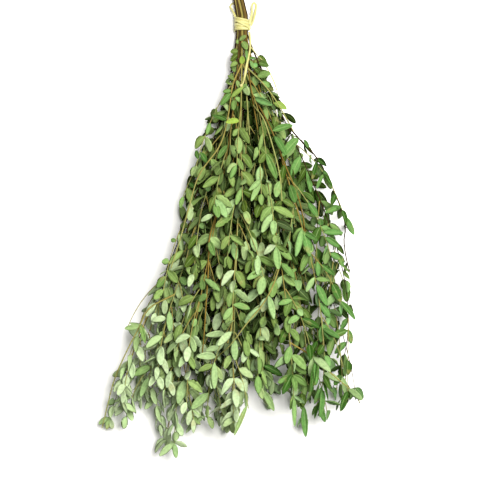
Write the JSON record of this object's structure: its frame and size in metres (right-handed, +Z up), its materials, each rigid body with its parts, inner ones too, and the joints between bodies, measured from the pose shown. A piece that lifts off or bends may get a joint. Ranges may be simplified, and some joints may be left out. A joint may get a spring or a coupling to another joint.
{
  "type": "bunch of dried eucalyptus",
  "caption": "Bunch of dried small-leaved eucalyptus stems tied with raffia, lying on its side.",
  "frame": {"origin": "on the surface, below the middle of the bunch's box without its free strands of raffia", "axes": "+Y towards the cut ends of the stems, +Z up from the surface, +X to the right seen from above"},
  "size_m": [0.3412, 0.5994, 0.137],
  "materials": {
    "foliage": "dry leaves with a faint waxy sheen",
    "raffia": "fibrous, slightly glossy palm strip"
  },
  "bodies": {
    "root": {"leafy_stem_01": "foliage", "leafy_stem_02": "foliage", "leafy_stem_03": "foliage", "leafy_stem_04": "foliage", "leafy_stem_05": "foliage", "leafy_stem_06": "foliage", "leafy_stem_07": "foliage", "leafy_stem_08": "foliage", "leafy_stem_09": "foliage", "leafy_stem_10": "foliage", "leafy_stem_11": "foliage", "leafy_stem_12": "foliage", "leafy_stem_13": "foliage", "leafy_stem_14": "foliage", "leafy_stem_15": "foliage", "leafy_stem_16": "foliage", "leafy_stem_17": "foliage", "leafy_stem_18": "foliage", "leafy_stem_19": "foliage", "raffia_binding": "raffia", "raffia_loop_right": "raffia", "raffia_loop_left": "raffia", "raffia_tail": "raffia", "raffia_tail_fine": "raffia", "raffia_tail_knot": "raffia"}
  },
  "joints": []
}
